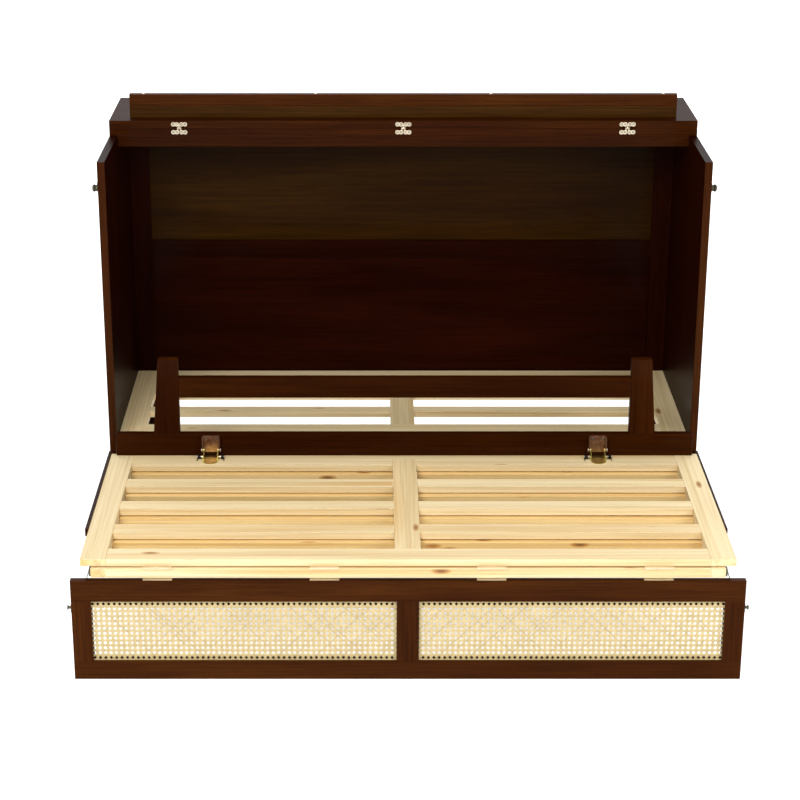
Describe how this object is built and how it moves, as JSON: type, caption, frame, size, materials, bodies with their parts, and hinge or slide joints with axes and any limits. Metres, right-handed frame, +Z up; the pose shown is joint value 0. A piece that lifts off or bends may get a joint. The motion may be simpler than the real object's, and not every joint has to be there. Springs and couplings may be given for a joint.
{
  "type": "cabinet murphy bed",
  "caption": "Wooden cabinet bed with a flip-back lid, a drop-down slatted deck on a cane leg panel and a folding foot deck.",
  "frame": {"origin": "on the floor, at the centre of the open bed's outline", "axes": "+X to the right seen from the foot end, +Y towards the wall, +Z up"},
  "size_m": [1.673, 1.4364, 1.2016],
  "materials": {
    "walnut": "dark walnut stain under a semi-gloss lacquer",
    "pine": "unfinished planed pine",
    "cane": "natural woven cane, satin",
    "nickel": "bright nickel plate",
    "zinc": "yellow zinc plate",
    "spring_steel": "black oiled steel"
  },
  "bodies": {
    "cabinet": {"side_left": "walnut", "side_right": "walnut", "back_stiles": "walnut", "back_rails": "walnut", "back_panel_upper": "walnut", "back_panel_lower": "walnut", "fixed_top": "walnut", "apron": "walnut", "base_front": "walnut", "deck_cleats": "pine", "head_side_rails": "pine", "head_end_rails": "pine", "head_centre_rail": "pine", "head_slats": "pine", "lid_hinge_bases": "nickel", "lid_hinge_pins": "nickel", "door_hinge_bases": "zinc", "door_hinge_pins": "zinc", "latch_plates": "nickel"},
    "lid": {"lid_board": "walnut", "lid_batten": "walnut", "batten_screws": "nickel", "lid_hinge_flaps": "nickel"},
    "drop_deck": {"deck_side_rails": "pine", "deck_end_rails": "pine", "deck_centre_rail": "pine", "deck_slats": "pine", "door_rails": "walnut", "door_stiles": "walnut", "door_panels": "walnut", "door_hinge_flaps": "zinc", "side_straps": "nickel", "foot_hinge_bases": "nickel", "foot_hinge_pins": "nickel", "panel_hinge_bases": "nickel", "panel_hinge_pins": "nickel"},
    "foot_deck": {"foot_side_rails": "pine", "foot_end_rails": "pine", "foot_centre_rail": "pine", "foot_slats": "pine", "foot_hinge_flaps": "nickel", "bracket_plates": "zinc", "bracket_pins": "nickel", "bracket_springs": "spring_steel"},
    "leg_frame": {"leg_rail": "walnut", "leg_left": "walnut", "leg_right": "walnut", "leg_stretcher": "walnut", "bracket_arms": "zinc", "bracket_screws": "nickel"},
    "leg_panel": {"cane_rails": "walnut", "cane_stiles": "walnut", "cane_left": "cane", "cane_right": "cane", "cane_beads": "walnut", "panel_hinge_flaps": "nickel", "catch_studs": "nickel"},
    "hook_left": {"hook_left": "nickel"},
    "hook_right": {"hook_right": "nickel"}
  },
  "joints": [
    {"name": "lid_hinge", "type": "hinge", "parent": "cabinet", "child": "lid", "pos_m": [0, 0.421, 1.11245], "axis": [-1, 0, 0], "range_deg": [-180, 0]},
    {"name": "deck_drop", "type": "hinge", "parent": "cabinet", "child": "drop_deck", "pos_m": [0, 0.114, 0.263], "axis": [-1, 0, 0], "range_deg": [0, 90]},
    {"name": "foot_fold", "type": "hinge", "parent": "drop_deck", "child": "foot_deck", "pos_m": [0, -0.7154, 0.299], "axis": [-1, 0, 0], "range_deg": [-180, 0]},
    {"name": "leg_fold", "type": "hinge", "parent": "foot_deck", "child": "leg_frame", "pos_m": [0, -0.055, 0.3395], "axis": [1, 0, 0], "range_deg": [0, 90]},
    {"name": "leg_panel_fold", "type": "hinge", "parent": "drop_deck", "child": "leg_panel", "pos_m": [0, -0.6984, 0.2699], "axis": [1, 0, 0], "range_deg": [0, 90]},
    {"name": "hook_left_turn", "type": "hinge", "parent": "cabinet", "child": "hook_left", "pos_m": [-0.825, 0.149, 1.014], "axis": [1, 0, 0], "range_deg": [0, 180]},
    {"name": "hook_right_turn", "type": "hinge", "parent": "cabinet", "child": "hook_right", "pos_m": [0.825, 0.149, 1.014], "axis": [1, 0, 0], "range_deg": [0, 180]}
  ]
}
